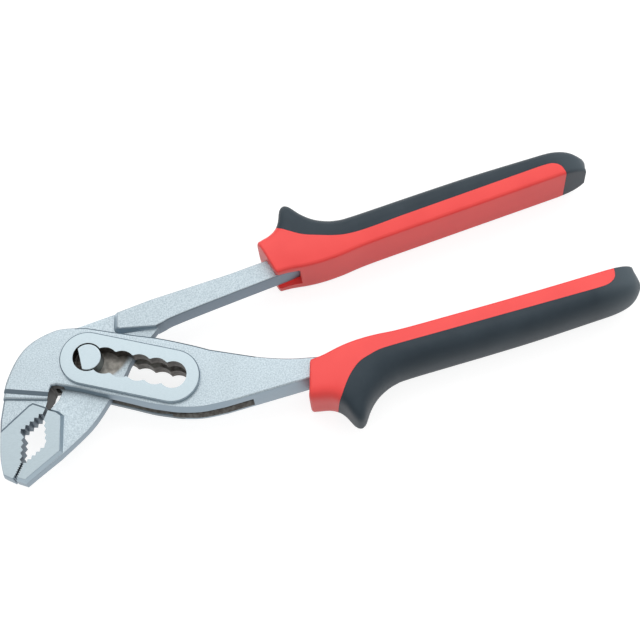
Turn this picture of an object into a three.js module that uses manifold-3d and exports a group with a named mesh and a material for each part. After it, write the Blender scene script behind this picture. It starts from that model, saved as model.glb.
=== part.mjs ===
// Water pump pliers with a box joint. Millimetres. The pivot axis is Z, the handles run along +X,
// the through arm's handle is on the +Y side. Z = 0 is the rear end face of the pivot pin.
import * as THREE from 'three';
import { mergeVertices } from 'three/addons/utils/BufferGeometryUtils.js';
import ManifoldModule from 'manifold-3d';

const wasm = await ManifoldModule();
wasm.setup();
const { Manifold, Mesh: ManifoldMesh } = wasm;

// Clearances
const runGap = 0.3;            // between two pieces that move past each other
const seatGap = 0.25;          // between two pieces that are fixed together
const boreFit = 0.08;          // pin in the tongue's bore, on the radius
const notchFit = 0.1;          // pin in a notch, on the radius
const entryFit = 0.45;         // pin in the first hole, where it goes in, on the radius
const eyeGap = 0.5;            // tongue's eye from the end of the box gap
const releasePlay = 0.2;       // pin between the slot's teeth with its flat along the slot
const shoulderGap = 2;         // through arm's shoulder from the box's upper edge

// Forging levels: half thicknesses from the mid-plane, and rises above the level before
const tongueHalf = 2.3;        // tongue inside the box
const shankHalf = 4.6;         // through arm's shank
const jawHalf = 4.1;           // both jaws
const landRise = 1.2;          // narrow land of the hook, above the jaw
const boxRise = 1.2;           // box and slotted shank, above the land
const padRise = 1.5;           // raised pads around the slot, above the box
const groundDepth = 0.25;      // ground flats on the outer jaw, below the forged skin
const forgeRound = 1.2;        // how far a forged face stands in from the parting line
const shankRound = 0.6;
const plateRound = 0.3;        // tongue's edges
const jawBevel = 0.8;          // raised inner jaw's edges
const padBevel = 0.5;

// Pivot and slot
const slotAngle = THREE.MathUtils.degToRad(-29.4);
const notchCount = 6;
const notchPitch = 6.52;
const pinRadius = 5.05;
const pinChamfer = 0.3;
const releaseAngle = THREE.MathUtils.degToRad(63);   // opening at which the pin passes the teeth
const fullSwing = THREE.MathUtils.degToRad(66);      // widest opening of the handles
const padWall = 4.85;          // pad around the notches
const eyeWall = 9.75;          // tongue around the pin
const boxTop = 11.9;           // box's upper edge from the slot's axis, at the first notch
const boxFlare = 1.3;          // how much further that edge is at the shank
const boxBottom = 12.9;        // box's lower edge from the slot's axis, at the last notch
const boxReach = 10.5;         // box past the last notch
const gapReach = 25.8;         // box gap past the last notch, along X
const shankBottom = -32.6;     // slotted shank's lower edge

// Jaw teeth
const coarseDepth = 1.0;
const fineDepth = 0.45;
const coarseCount = 5;
const fineCount = 8;

// Grips
const gripLength = 126.6;
const gripHalf = 11.5;         // half thickness at the crown
const creaseDrop = 0.6;        // flat inner wall's edge below the crown
const crownOffset = 5;         // crown from the inner wall
const gripWidth = 14.5;        // from the inner wall to the outer side, half way along
const tailWidth = 12.8;        // the same where the end starts to round off
const hornReach = 29.1;        // finger guard's tip from the inner wall
const hornPlace = 12.9;        // finger guard's tip from the front
const coverLine = 5.6;         // where the soft cover starts, from the inner wall
const frontSwell = 0.8;        // inner wall's swelling behind the front
const coreWall = 1.8;          // hard core around the tang
const tangShort = 30;          // grip past the tang's end
const notchLength = 10.2;      // open notch at the front of the inner wall
const notchPlay = 0.7;         // notch past the thicker shank, on each side
const frontSlant = THREE.MathUtils.degToRad(13);
const frontSet = 1.6;          // front face from the grip's zero, at the inner wall
const slottedGripX = 76.8;
const slottedGripY = -24.1;
const slottedGripTurn = -0.75;
const throughGripX = 74.2;
const throughGripY = 9;
const throughGripTurn = 3.55;
const slottedFrontEase = 2.4;  // inner wall set back at the front
const throughFrontEase = 1.5;
const slottedLift = 0.2;       // soft cover's line at the end, above coverLine
const throughLift = 0.7;

const steelColour = 0xc3ced3;
const pinColour = 0xd3dde0;
const coreColour = 0xe8504c;
const coverColour = 0x3f484e;

const point = (x, y) => new THREE.Vector2(x, y);

// A smooth stretch through the given points.
function bend(points, steps) {
  return new THREE.SplineCurve(points).getPoints(steps);
}

function circleArc(centre, radius, from, to, steps) {
  const curve = new THREE.EllipseCurve(centre.x, centre.y, radius, radius, from, to, to < from);
  return curve.getPoints(steps);
}

// Drops repeated points and makes the ring anticlockwise.
function closedRing(points) {
  const ring = points.filter((p, i) => p.distanceTo(points[(i + 1) % points.length]) > 1e-3);
  return THREE.ShapeUtils.isClockWise(ring) ? ring.reverse() : ring;
}

function insetRing(ring, inset) {
  return ring.map((p, i) => {
    const before = ring[(i + ring.length - 1) % ring.length];
    const after = ring[(i + 1) % ring.length];
    const into = p.clone().sub(before).normalize();
    const out = after.clone().sub(p).normalize();
    const mitre = point(-into.y - out.y, into.x + out.x).normalize();
    const stretch = Math.max(0.5, mitre.dot(point(-into.y, into.x)));
    return p.clone().addScaledVector(mitre, inset / stretch);
  });
}

// Skins a stack of rings of equal count and caps both ends.
function loft(rings, flatten) {
  const count = rings[0].length;
  const positions = rings.flat().flatMap((p) => [p.x, p.y, p.z]);
  const index = [];
  for (let r = 0; r + 1 < rings.length; r += 1) {
    for (let i = 0; i < count; i += 1) {
      const a = r * count + i;
      const b = r * count + (i + 1) % count;
      index.push(a, b, b + count, a, b + count, a + count);
    }
  }
  const last = (rings.length - 1) * count;
  for (const [a, b, c] of THREE.ShapeUtils.triangulateShape(rings[0].map(flatten), [])) {
    index.push(c, b, a);
  }
  for (const [a, b, c] of THREE.ShapeUtils.triangulateShape(rings.at(-1).map(flatten), [])) {
    index.push(last + a, last + b, last + c);
  }
  const geometry = new THREE.BufferGeometry();
  geometry.setAttribute('position', new THREE.Float32BufferAttribute(positions, 3));
  geometry.setIndex(index);
  return geometry;
}

function solid(geometry) {
  const bare = geometry.clone();
  for (const name of Object.keys(bare.attributes)) {
    if (name !== 'position') bare.deleteAttribute(name);
  }
  const merged = mergeVertices(bare, 1e-4);
  return new Manifold(new ManifoldMesh({
    numProp: 3,
    vertProperties: new Float32Array(merged.attributes.position.array),
    triVerts: new Uint32Array(merged.index.array),
  }));
}

// A forging seen in plan: the ring is its parting line, the profile lists [height, inset].
function forging(outline, profile) {
  const ring = closedRing(outline);
  const levels = [
    ...profile.map(([height, inset]) => [-height, inset]),
    ...profile.filter(([height]) => height > 0).reverse(),
  ];
  const rings = levels.map(([height, inset]) =>
    insetRing(ring, inset).map((p) => new THREE.Vector3(p.x, p.y, height)));
  return solid(loft(rings, (p) => point(p.x, p.y)));
}

function forgedProfile(half, round, grow = 0) {
  return [
    [half + grow, round - grow],
    [half - 0.3 * round + grow, 0.55 * round - grow],
    [half - 0.8 * round + grow, 0.25 * round - grow],
    [0, -grow],
  ];
}

function prism(outline, low, high) {
  const geometry = new THREE.ExtrudeGeometry(new THREE.Shape(closedRing(outline)), {
    depth: high - low,
    bevelEnabled: false,
    curveSegments: 1,
  });
  geometry.translate(0, 0, low);
  return solid(geometry);
}

function disc(centre, radius, low, high, segments = 48) {
  const geometry = new THREE.CylinderGeometry(radius, radius, high - low, segments);
  geometry.rotateX(Math.PI / 2);
  geometry.translate(centre.x, centre.y, (low + high) / 2);
  return solid(geometry);
}

const joined = (...solids) => Manifold.union(solids);

// Saw teeth from one point to another: tips on the line, valleys to the given side.
function teeth(from, to, count, depth) {
  const along = to.clone().sub(from);
  const side = point(along.y, -along.x).normalize().multiplyScalar(depth);
  const row = [];
  for (let i = 0; i < count; i += 1) {
    row.push(from.clone().addScaledVector(along, i / count));
    row.push(from.clone().addScaledVector(along, (i + 0.5) / count).add(side));
  }
  return row;
}

// Sizes that follow from those above
const landHalf = jawHalf + landRise;
const boxHalf = landHalf + boxRise;
const padHalf = boxHalf + padRise;
const notchRadius = pinRadius + notchFit;
const entryRadius = pinRadius + entryFit;
const padRadius = notchRadius + padWall;
const eyeRadius = pinRadius + eyeWall;
const slotLength = (notchCount - 1) * notchPitch;
const toothTip = Math.sqrt(notchRadius ** 2 - (notchPitch / 2) ** 2);
const pinFlat = 2 * toothTip - pinRadius - releasePlay;
const tangReach = gripLength - tangShort;

// A place along the slot from the pin's first position, and across it.
const alongSlot = (along, across) => point(along, across).rotateAround(point(0, 0), slotAngle);
const farNotch = alongSlot(slotLength, 0);
const boxGapEnd = farNotch.x + gapReach;

// Mouth of the jaws: the closing line at the tip and the corners of the pipe opening
const tip = point(-36.55, -36.2);
const lipStart = point(-32.45, -31.0);
const outerApex = point(-30.7, -19.6);
const outerTop = point(-21.2, -15.0);
const throat = point(-15.0, -5.0);
const innerApex = point(-23.0, -26.6);
const innerTop = point(-21.3, -17.4);
const jawHeel = point(-33.1, -38.6);
const jawCorner = point(-18.9, -32.2);
const lipSide = point(lipStart.y - tip.y, tip.x - lipStart.x).normalize();

function lipPoint(p, jaw) {
  return p.clone().addScaledVector(lipSide, jaw * runGap / 2);
}

function mouthOfOuterJaw() {
  const lip = lipPoint(lipStart, -1);
  const end = lipPoint(tip, -1);
  return [
    throat,
    point(-17.8, -9.0),
    point(-19.4, -12.6),
    ...teeth(outerTop, outerApex, coarseCount, coarseDepth),
    ...teeth(point(-29.8, -21.6), lip, coarseCount - 1, 0.85 * coarseDepth),
    ...teeth(lip, end, fineCount, fineDepth),
    end.clone().lerp(lip, -0.5),
    point(-5, -45),
    point(-5, -13.4),
    point(-13.4, -8.6),
  ];
}

function mouthOfInnerJaw() {
  const lip = lipPoint(lipStart, 1);
  const end = lipPoint(tip, 1);
  const upper = teeth(innerApex, innerTop, coarseCount - 1, 0.6 * coarseDepth);
  const lower = teeth(lip, innerApex, coarseCount, 0.85 * coarseDepth);
  const fine = teeth(end, lip, fineCount, fineDepth);
  return [
    end.clone().lerp(lip, -0.5),
    ...fine,
    ...lower,
    ...upper,
    innerTop,
    point(-18.9, -14.0),
    point(-16.3, -12.3),
    point(-14.6, -11.1),
    point(-12.6, -8.4),
    point(-30, 0),
    point(-55, -20),
    point(-55, -45),
  ];
}

// Hook contour from the box's back round to the jaw's tip, on the parting line
const hookBack = bend([
  point(2, 12.5), point(-9.3, 14.8), point(-21.8, 11.2), point(-31, 1), point(-37.1, -12.8),
], 26);
const jawBack = bend([
  point(-37.1, -12.8), point(-38.9, -20.3), point(-40.2, -27), point(-40.5, -33.4),
], 8);

// The hook's two steps run from this height on its back to these inner points.
const boxStep = -3.6;
const landStep = -5.8;
const boxStepEnd = point(-16.2, -10.4);
const landStepEnd = point(-17.2, -11.35);

// The hook's contour down to a step. The last stretch is longer than the forged round.
function hookBackTo(step) {
  const next = hookBack.findIndex((p) => p.y < step);
  const a = hookBack[next - 1];
  const b = hookBack[next];
  const end = a.clone().lerp(b, (step - a.y) / (b.y - a.y));
  return [...hookBack.filter((p) => p.y > step + 2 * forgeRound), end];
}

function slottedShankOutline() {
  const end = slottedGripX + tangReach;
  return [
    ...bend([point(40, -7.6), point(57.4, -16.4), point(70, -21.4), point(80, -23.9)], 14),
    point(90, -26.3),
    point(end, -27.4),
    point(end, -32.0),
    point(84, shankBottom),
    point(40, shankBottom),
  ];
}

function boxOutline() {
  return [
    alongSlot(slotLength + boxReach, boxTop + boxFlare),
    ...hookBackTo(boxStep),
    boxStepEnd,
    throat,
    ...bend([
      alongSlot(slotLength, -boxBottom), point(29, -30.4), point(35, -32.2), point(42, shankBottom),
    ], 8),
    point(60, shankBottom),
    point(60, -17.6),
  ];
}

function padOutline() {
  const side = slotAngle + Math.PI / 2;
  return [
    ...circleArc(point(0, 0), padRadius, side, side + Math.PI, 24),
    ...circleArc(farNotch, padRadius, side + Math.PI, side + 2 * Math.PI, 24),
  ];
}

// The gap is open at the back as far as the tongue's upper edge swings.
function boxGapOutline() {
  const reach = eyeRadius + eyeGap;
  const closed = THREE.MathUtils.degToRad(79) + fullSwing;
  return [
    point(50 * Math.cos(closed), 50 * Math.sin(closed)),
    ...circleArc(point(0, 0), reach, closed, Math.PI * 1.1, 16),
    point(-14.3, -45),
    point(boxGapEnd, -45),
    point(boxGapEnd, 50),
  ];
}

function slottedArm() {
  const root = [throat, point(-10, -4), point(-20, 4)];
  const land = [...hookBackTo(landStep).filter((p) => p.y < 3), landStepEnd, ...root];
  const jaw = [
    ...hookBack.filter((p) => p.y < 1), ...jawBack.slice(1),
    point(-37.2, -36.3), point(-33, -33), point(-28, -20), point(-18, -15), ...root,
  ];
  let arm = joined(
    forging(boxOutline(), forgedProfile(boxHalf, forgeRound)),
    forging(slottedShankOutline(), forgedProfile(boxHalf, forgeRound)),
    forging(land, forgedProfile(landHalf, forgeRound)),
    forging(jaw, forgedProfile(jawHalf, forgeRound)),
    forging(padOutline(), [[padHalf, padBevel], [padHalf - 0.7 * padBevel, 0.3 * padBevel], [0, 0]]),
  );
  const ground = [
    point(-50, -24.4), point(-25.3, -10.8), point(-23.9, -10.4), point(-19.5, -13.6),
    point(-10, -20), point(-10, -50), point(-50, -50),
  ];
  arm = arm
    .subtract(prism(ground, jawHalf - groundDepth, padHalf))
    .subtract(prism(ground, -padHalf, groundDepth - jawHalf))
    .subtract(prism(mouthOfOuterJaw(), -padHalf - 1, padHalf + 1))
    .subtract(prism(boxGapOutline(), -tongueHalf - runGap, tongueHalf + runGap));
  for (let notch = 0; notch < notchCount; notch += 1) {
    const radius = notch === 0 ? entryRadius : notchRadius;
    arm = arm.subtract(disc(alongSlot(notch * notchPitch, 0), radius, -padHalf - 1, padHalf + 1));
  }
  return arm;
}

function throughShankOutline() {
  const end = throughGripX + tangReach;
  return [
    point(14.4, 15.4),
    alongSlot(6.65, boxTop + shoulderGap),
    point(27.2, 5.5),
    ...bend([point(30, 6.1), point(34, 7), point(50, 8.7), point(80, 11.5)], 8),
    point(92, 13.4),
    point(end, 19.2),
    point(end, 24.2),
    point(84, 19.6),
    point(58.9, 17.7),
    point(27.5, 16.6),
  ];
}

function tongueOutline() {
  return [
    ...circleArc(point(0, 0), eyeRadius, Math.PI / 2, THREE.MathUtils.degToRad(213), 24),
    point(-14.5, -11),
    point(-20, -12.5),
    point(-38, -34),
    tip,
    jawHeel,
    ...bend([jawCorner, point(-5.6, -24.6), point(3.2, -16.8)], 8),
    point(27, 4.9),
    point(30, 8),
    point(20, 15.6),
    point(12, 15.6),
  ];
}

function innerJawOutline() {
  return [
    point(-19.6, -12.6), point(-15.6, -15.2), point(-14, -17.4), point(-17.7, -31.2),
    jawHeel, tip, point(-39, -34), point(-24, -15),
  ];
}

function throughArm() {
  const plate = [[tongueHalf, plateRound], [tongueHalf - plateRound, 0], [0, 0]];
  const raised = [[jawHalf, jawBevel], [tongueHalf, 0], [0, 0]];
  const below = prism([jawHeel, jawCorner, point(-5.6, -24.6), point(0, -50), point(-33, -60)],
    -padHalf, padHalf);
  return joined(
    forging(tongueOutline(), plate),
    forging(innerJawOutline(), raised).subtract(below),
    forging(throughShankOutline(), forgedProfile(shankHalf, shankRound)),
  )
    .subtract(prism(mouthOfInnerJaw(), -padHalf, padHalf))
    .subtract(disc(point(0, 0), pinRadius + boreFit, -padHalf, padHalf));
}

function pivotPin() {
  const profile = [
    point(0, -padHalf), point(pinRadius - pinChamfer, -padHalf), point(pinRadius, pinChamfer - padHalf),
    point(pinRadius, padHalf - pinChamfer), point(pinRadius - pinChamfer, padHalf), point(0, padHalf),
  ];
  const geometry = new THREE.LatheGeometry(profile, 48);
  geometry.rotateX(Math.PI / 2);
  let pin = solid(geometry);
  for (const end of [-1, 1]) {
    const flat = new THREE.BoxGeometry(pinRadius, 2 * pinRadius + 2, padHalf);
    flat.translate(-pinFlat - pinRadius / 2, 0, end * (tongueHalf + padHalf / 2));
    flat.rotateZ(slotAngle + Math.PI / 2 - releaseAngle);
    pin = pin.subtract(solid(flat));
  }
  return pin;
}

// A value along the grip, smooth through the given [place, value] points.
function track(...points) {
  const dense = new THREE.SplineCurve(points.map(([x, y]) => point(x, y))).getPoints(400);
  return (place) => {
    const next = Math.max(1, dense.findIndex((p) => p.x >= place));
    const a = dense[next - 1];
    const b = dense[next];
    return THREE.MathUtils.mapLinear(place, a.x, b.x, a.y, b.y);
  };
}

// Finger guard: [place from its tip, share of its rise above the grip's side]
const hornShape = [
  [-5.9, 0.38], [-3.6, 0.58], [-1.6, 0.88], [0, 1], [1.9, 0.92], [4.6, 0.645], [7.6, 0.413],
  [11.1, 0.24], [16.1, 0.094], [23.1, 0.03],
];
const hornRise = hornReach - gripWidth;

// Grip contours: distance of the inner wall, the outer side and the crown along the grip
const gripInner = track(
  [-6, 0], [4, -0.15 * frontSwell], [16, -0.9 * frontSwell], [26, -0.9 * frontSwell],
  [37, -0.1 * frontSwell], [gripLength / 2, 0], [gripLength - 6.5, 0], [gripLength - 4, 0.15],
  [gripLength - 2.6, 0.6], [gripLength - 1.3, 1.9], [gripLength + 0.1, 5],
);
const frontEase = track([-6, 1.3], [0, 1], [6, 0.82], [12, 0.35], [17, 0.1], [22, 0], [gripLength + 0.1, 0]);
const gripOuter = track(
  [-6, gripWidth + 1.1], [0, gripWidth + 2.3], [4, gripWidth + 3.3],
  ...hornShape.map(([place, share]) => [hornPlace + place, gripWidth + share * hornRise]),
  [gripLength / 2, gripWidth], [gripLength - 42, gripWidth - 0.5], [gripLength - 19, tailWidth],
  [gripLength - 11, tailWidth - 0.5], [gripLength - 6, tailWidth - 1.4], [gripLength - 3, tailWidth - 2.8],
  [gripLength - 1, tailWidth - 4.8], [gripLength + 0.1, tailWidth - 6.6],
);
const gripThick = track(
  [-6, 0.92], [0, 0.95], [12, 0.99], [24, 1], [gripLength / 2, 1], [gripLength - 16, 1],
  [gripLength - 12, 0.995], [gripLength - 9, 0.965], [gripLength - 7, 0.92], [gripLength - 5, 0.84],
  [gripLength - 3, 0.7], [gripLength - 1.5, 0.51], [gripLength - 0.5, 0.3], [gripLength + 0.1, 0.14],
);
const gripSquare = track(
  [-6, 4.5], [6, 4.5], [12, 4], [18, 3], [26, 2.5], [34, 2.4], [gripLength + 0.1, 2.4],
);
const hornPlaces = [
  -6.9, -4.9, -3.4, -2.1, -0.9, 0.1, 1.3, 2.9, 4.6, 6.6, 9.1, 12.1, 16.1, 21.1, 29.1,
];
const tailPlaces = [-42, -19, -13, -9, -6.5, -4.5, -3, -1.8, -0.9, -0.3, 0];
const gripPlaces = [
  -5, 0, 3,
  ...hornPlaces.map((place) => hornPlace + place),
  gripLength / 2,
  ...tailPlaces.map((place) => gripLength + place),
];

function gripRing(place, side, ease) {
  const inner = gripInner(place) + ease * frontEase(place);
  const width = gripOuter(place) - inner;
  const crown = inner + Math.min(crownOffset, 0.36 * width);
  const top = gripHalf * gripThick(place);
  const crease = (gripHalf - creaseDrop) * gripThick(place);
  const round = Math.min(1, width / 8);
  const half = [
    point(inner, 0.55 * crease),
    point(inner + 0.15 * round, crease - round),
    point(inner + 0.5 * round, crease - 0.3 * round),
    point(inner + 1.1 * round, crease + 0.05 * round),
    point(crown, top),
  ];
  const power = 2 / gripSquare(place);
  for (const turn of [0.17, 0.33, 0.5, 0.67, 0.83]) {
    const angle = turn * Math.PI / 2;
    half.push(point(
      crown + (inner + width - crown) * Math.sin(angle) ** power,
      top * Math.cos(angle) ** power,
    ));
  }
  const lower = half.map((p) => point(p.x, -p.y)).reverse();
  const ring = [point(inner, 0), ...half, point(inner + width, 0), ...lower];
  const placed = ring.map((p) => new THREE.Vector3(place, side * p.x, p.y));
  return side > 0 ? placed.reverse() : placed;
}

function gripBody(side, ease) {
  const rings = gripPlaces.map((place) => gripRing(place, side, ease));
  const front = new THREE.BoxGeometry(40, 120, 60);
  front.translate(-20, 0, 0);
  front.rotateZ(side * frontSlant);
  front.translate(frontSet, 0, 0);
  return solid(loft(rings, (p) => point(p.y, p.z))).subtract(solid(front));
}

// Front of that line on each grip: [place, height above the straight stretch]
const slottedSweep = [[8.5, 13.1], [12, 8.2], [15, 5], [18.3, 2.6], [22.4, 1.2], [27, 0.2], [35, 0]];
const throughSweep = [[7.9, 12.3], [14.7, 6.8], [20.7, 3.9], [27.3, 1.3], [33, 0.2], [40, -0.1], [52, 0.1]];

// The hard core's share of the grip in plan: inside the line where the soft cover starts.
function coreRegion(side, shift, sweep, lift) {
  const line = [
    point(5.6, 40),
    point(5.6, 22),
    ...bend(sweep.map(([place, height]) => point(place, coverLine + height)), 18),
    ...bend([
      point(gripLength - 18, coverLine + lift), point(gripLength - 13.2, coverLine + lift - 0.4),
      point(gripLength - 10.2, coverLine + lift - 2.4), point(gripLength - 9.2, coverLine + lift - 6),
      point(gripLength - 9.1, -4),
    ], 10),
    point(gripLength - 9.1, -8),
    point(-20, -8),
    point(-20, 40),
  ];
  return prism(line.map((p) => point(p.x + shift, side * (p.y + shift))), -30, 30);
}

// Open notch at the front of the inner wall, where the shank shows.
function frontNotch(side) {
  const half = boxHalf + notchPlay;
  const flare = 2.6;
  const depth = 8;
  const outline = new THREE.Shape([
    point(-8, -half - flare), point(notchLength, -half), point(notchLength, half), point(-8, half + flare),
  ]);
  const geometry = new THREE.ExtrudeGeometry(outline, { depth, bevelEnabled: false });
  geometry.rotateX(Math.PI / 2);
  geometry.translate(0, side > 0 ? flare : depth - flare, 0);
  return solid(geometry);
}

// Both materials of a grip. The tang is a function that gives the arm's shank, grown by a wall.
function grip(tang, placement, side, ease, sweep, lift) {
  const local = placement.matrix.clone().invert();
  const around = (grow) => tang(grow).transform(local.elements);
  const body = gripBody(side, ease);
  const core = body
    .intersect(coreRegion(side, 0, sweep, lift))
    .add(around(seatGap + coreWall).intersect(body))
    .subtract(around(seatGap))
    .subtract(frontNotch(side));
  const cover = body
    .subtract(coreRegion(side, seatGap, sweep, lift))
    .subtract(around(2 * seatGap + coreWall));
  return [core, cover];
}

function gripPlacement(x, y, degrees) {
  const placement = new THREE.Group();
  placement.position.set(x, y, 0);
  placement.rotation.z = THREE.MathUtils.degToRad(degrees);
  placement.updateMatrix();
  return placement;
}

function piece(name, body, colour, roughness, metalness) {
  const { vertProperties, triVerts } = body.getMesh();
  const geometry = new THREE.BufferGeometry();
  geometry.setAttribute('position', new THREE.Float32BufferAttribute(vertProperties, 3));
  geometry.setIndex(new THREE.Uint32BufferAttribute(triVerts, 1));
  geometry.computeVertexNormals();
  const material = new THREE.MeshStandardMaterial({ color: colour, roughness, metalness });
  const mesh = new THREE.Mesh(geometry, material);
  mesh.name = name;
  return mesh;
}

const slottedTang = (grow) => forging(slottedShankOutline(), forgedProfile(boxHalf, forgeRound, grow));
const throughTang = (grow) => forging(throughShankOutline(), forgedProfile(shankHalf, shankRound, grow));
const slottedGrip = gripPlacement(slottedGripX, slottedGripY, slottedGripTurn);
const throughGrip = gripPlacement(throughGripX, throughGripY, throughGripTurn);
const [slottedCore, slottedCover] =
  grip(slottedTang, slottedGrip, -1, slottedFrontEase, slottedSweep, slottedLift);
const [throughCore, throughCover] =
  grip(throughTang, throughGrip, 1, throughFrontEase, throughSweep, throughLift);

slottedGrip.add(
  piece('slotted_grip_core', slottedCore, coreColour, 0.42, 0),
  piece('slotted_grip_cover', slottedCover, coverColour, 0.7, 0),
);
throughGrip.add(
  piece('through_grip_core', throughCore, coreColour, 0.42, 0),
  piece('through_grip_cover', throughCover, coverColour, 0.7, 0),
);

const pliers = new THREE.Group();
pliers.position.z = padHalf;
pliers.add(
  piece('slotted_arm', slottedArm(), steelColour, 0.45, 0.9),
  piece('through_arm', throughArm(), steelColour, 0.45, 0.9),
  piece('pivot_pin', pivotPin(), pinColour, 0.3, 0.9),
  slottedGrip,
  throughGrip,
);

export default pliers;
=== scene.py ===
import math

import bmesh
import bpy
import numpy as np
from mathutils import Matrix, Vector


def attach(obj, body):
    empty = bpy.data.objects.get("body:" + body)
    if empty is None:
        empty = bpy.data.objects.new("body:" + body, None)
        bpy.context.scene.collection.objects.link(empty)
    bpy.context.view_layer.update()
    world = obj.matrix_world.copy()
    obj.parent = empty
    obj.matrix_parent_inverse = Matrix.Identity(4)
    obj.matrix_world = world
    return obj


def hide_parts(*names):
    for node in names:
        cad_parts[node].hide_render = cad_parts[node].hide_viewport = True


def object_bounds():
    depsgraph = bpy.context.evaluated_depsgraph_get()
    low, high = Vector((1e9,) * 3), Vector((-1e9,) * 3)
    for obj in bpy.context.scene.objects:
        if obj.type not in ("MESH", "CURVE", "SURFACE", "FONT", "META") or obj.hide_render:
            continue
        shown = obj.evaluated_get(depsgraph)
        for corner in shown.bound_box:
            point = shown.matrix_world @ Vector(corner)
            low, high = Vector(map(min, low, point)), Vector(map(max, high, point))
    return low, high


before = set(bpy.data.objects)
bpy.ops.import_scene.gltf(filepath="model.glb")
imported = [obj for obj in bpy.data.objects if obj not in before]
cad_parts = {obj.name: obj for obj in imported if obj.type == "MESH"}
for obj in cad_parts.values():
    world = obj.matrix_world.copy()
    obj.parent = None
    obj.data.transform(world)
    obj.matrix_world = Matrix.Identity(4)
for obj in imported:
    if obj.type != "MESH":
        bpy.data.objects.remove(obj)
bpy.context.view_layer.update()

mm = 0.001
midPlane = 8.0  # mid-thickness of the pliers above the pin's rear end, mm
farOut = 20.0  # from the mid-plane to well beyond every face, mm


# outlines in plan, all in millimetres

def pt(x, y):
    return np.array((x, y), float)


def bend(points, steps):  # smooth stretch through the given points
    points = [np.array(p, float) for p in points]
    last = len(points) - 1
    curve = []
    for step in range(steps + 1):
        place = last * step / steps
        i = min(int(place), last)
        w = place - i
        p0 = points[max(i - 1, 0)]
        p1 = points[i]
        p2 = points[min(i + 1, last)]
        p3 = points[min(i + 2, last)]
        v0 = (p2 - p0) / 2
        v1 = (p3 - p1) / 2
        curve.append((2 * p1 - 2 * p2 + v0 + v1) * w ** 3
                     + (3 * p2 - 3 * p1 - 2 * v0 - v1) * w ** 2 + v0 * w + p1)
    return curve


def arc(centre, radius, start, end, steps):
    angles = np.radians(np.linspace(start, end, steps + 1))
    return [centre + radius * pt(math.cos(a), math.sin(a)) for a in angles]


def circle(radius, segments):  # about the pivot
    return arc(pt(0, 0), radius, 0, 360 - 360 / segments, segments - 1)


def closedRing(points):  # no doubled points, anticlockwise
    ring = np.array(points, float)
    ring = ring[np.linalg.norm(ring - np.roll(ring, -1, 0), axis=1) > 1e-3]
    after = np.roll(ring, -1, 0)
    area = np.sum(ring[:, 0] * after[:, 1] - after[:, 0] * ring[:, 1])
    return ring if area > 0 else ring[::-1]


def insetRing(ring, inset):
    into = ring - np.roll(ring, 1, 0)
    into /= np.linalg.norm(into, axis=1)[:, None]
    out = np.roll(into, -1, 0)
    mitre = np.stack([-into[:, 1] - out[:, 1], into[:, 0] + out[:, 0]], 1)
    mitre /= np.linalg.norm(mitre, axis=1)[:, None]
    stretch = -mitre[:, 0] * into[:, 1] + mitre[:, 1] * into[:, 0]
    return ring + mitre * (inset / np.maximum(0.5, stretch))[:, None]


def atHeight(ring, height):  # a plan ring at a height from the mid-plane
    return np.column_stack([ring, np.full(len(ring), midPlane + height)])


# solids from outlines

def newPiece(name, verts, faces):
    mesh = bpy.data.meshes.new(name)
    mesh.from_pydata((np.array(verts) * mm).tolist(), [], faces)
    mesh.update()
    piece = bpy.data.objects.new(name, mesh)
    bpy.context.scene.collection.objects.link(piece)
    return piece


def loft(name, rings):  # skin over a stack of rings, with flat ends
    count = len(rings[0])
    faces = []
    for r in range(len(rings) - 1):
        for i in range(count):
            a = r * count + i
            b = r * count + (i + 1) % count
            faces.append((a, b, b + count, a + count))
    top = (len(rings) - 1) * count
    faces.append(tuple(range(count - 1, -1, -1)))
    faces.append(tuple(range(top, top + count)))
    return newPiece(name, np.concatenate(rings), faces)


def forging(name, outline, profile):  # profile: heights from the mid-plane with the inset there
    ring = closedRing(outline)
    levels = [(-h, inset) for h, inset in reversed(profile)] + [lv for lv in profile if lv[0] > 0]
    return loft(name, [atHeight(insetRing(ring, inset), height) for height, inset in levels])


def forgedProfile(half, roundOff, grow=0.0, steps=7):  # draft, then a quarter round to the face
    levels = [(0.0, -grow)]
    for a in np.linspace(0, math.pi / 2, steps):
        height = half - 0.8 * roundOff * (1 - math.sin(a))
        inset = roundOff * (0.25 + 0.75 * (1 - math.cos(a)))
        levels.append((height + grow, inset - grow))
    return levels


def prism(name, outline, low, high):
    ring = closedRing(outline)
    return loft(name, [atHeight(ring, height) for height in (low, high)])


def punch(name, outline):  # passes through everything
    return prism(name, outline, -farOut, farOut)


def settle(piece):  # modifiers become plain mesh
    depsgraph = bpy.context.evaluated_depsgraph_get()
    mesh = bpy.data.meshes.new_from_object(piece.evaluated_get(depsgraph), depsgraph=depsgraph)
    piece.modifiers.clear()
    old = piece.data
    piece.data = mesh
    bpy.data.meshes.remove(old)
    return piece


def combine(piece, tool, operation):
    modifier = piece.modifiers.new("combine", "BOOLEAN")
    modifier.operation = operation
    modifier.solver = "MANIFOLD"
    modifier.object = tool
    settle(piece)
    oldMesh = tool.data
    bpy.data.objects.remove(tool)
    bpy.data.meshes.remove(oldMesh)
    return piece


def weld(piece, *tools):
    for tool in tools:
        combine(piece, tool, "UNION")
    return piece


def cut(piece, *tools):
    for tool in tools:
        combine(piece, tool, "DIFFERENCE")
    return piece


def keepInside(piece, tool):
    return combine(piece, tool, "INTERSECT")


def copyOf(piece, name):
    twin = bpy.data.objects.new(name, piece.data.copy())
    bpy.context.scene.collection.objects.link(twin)
    return twin


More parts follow.
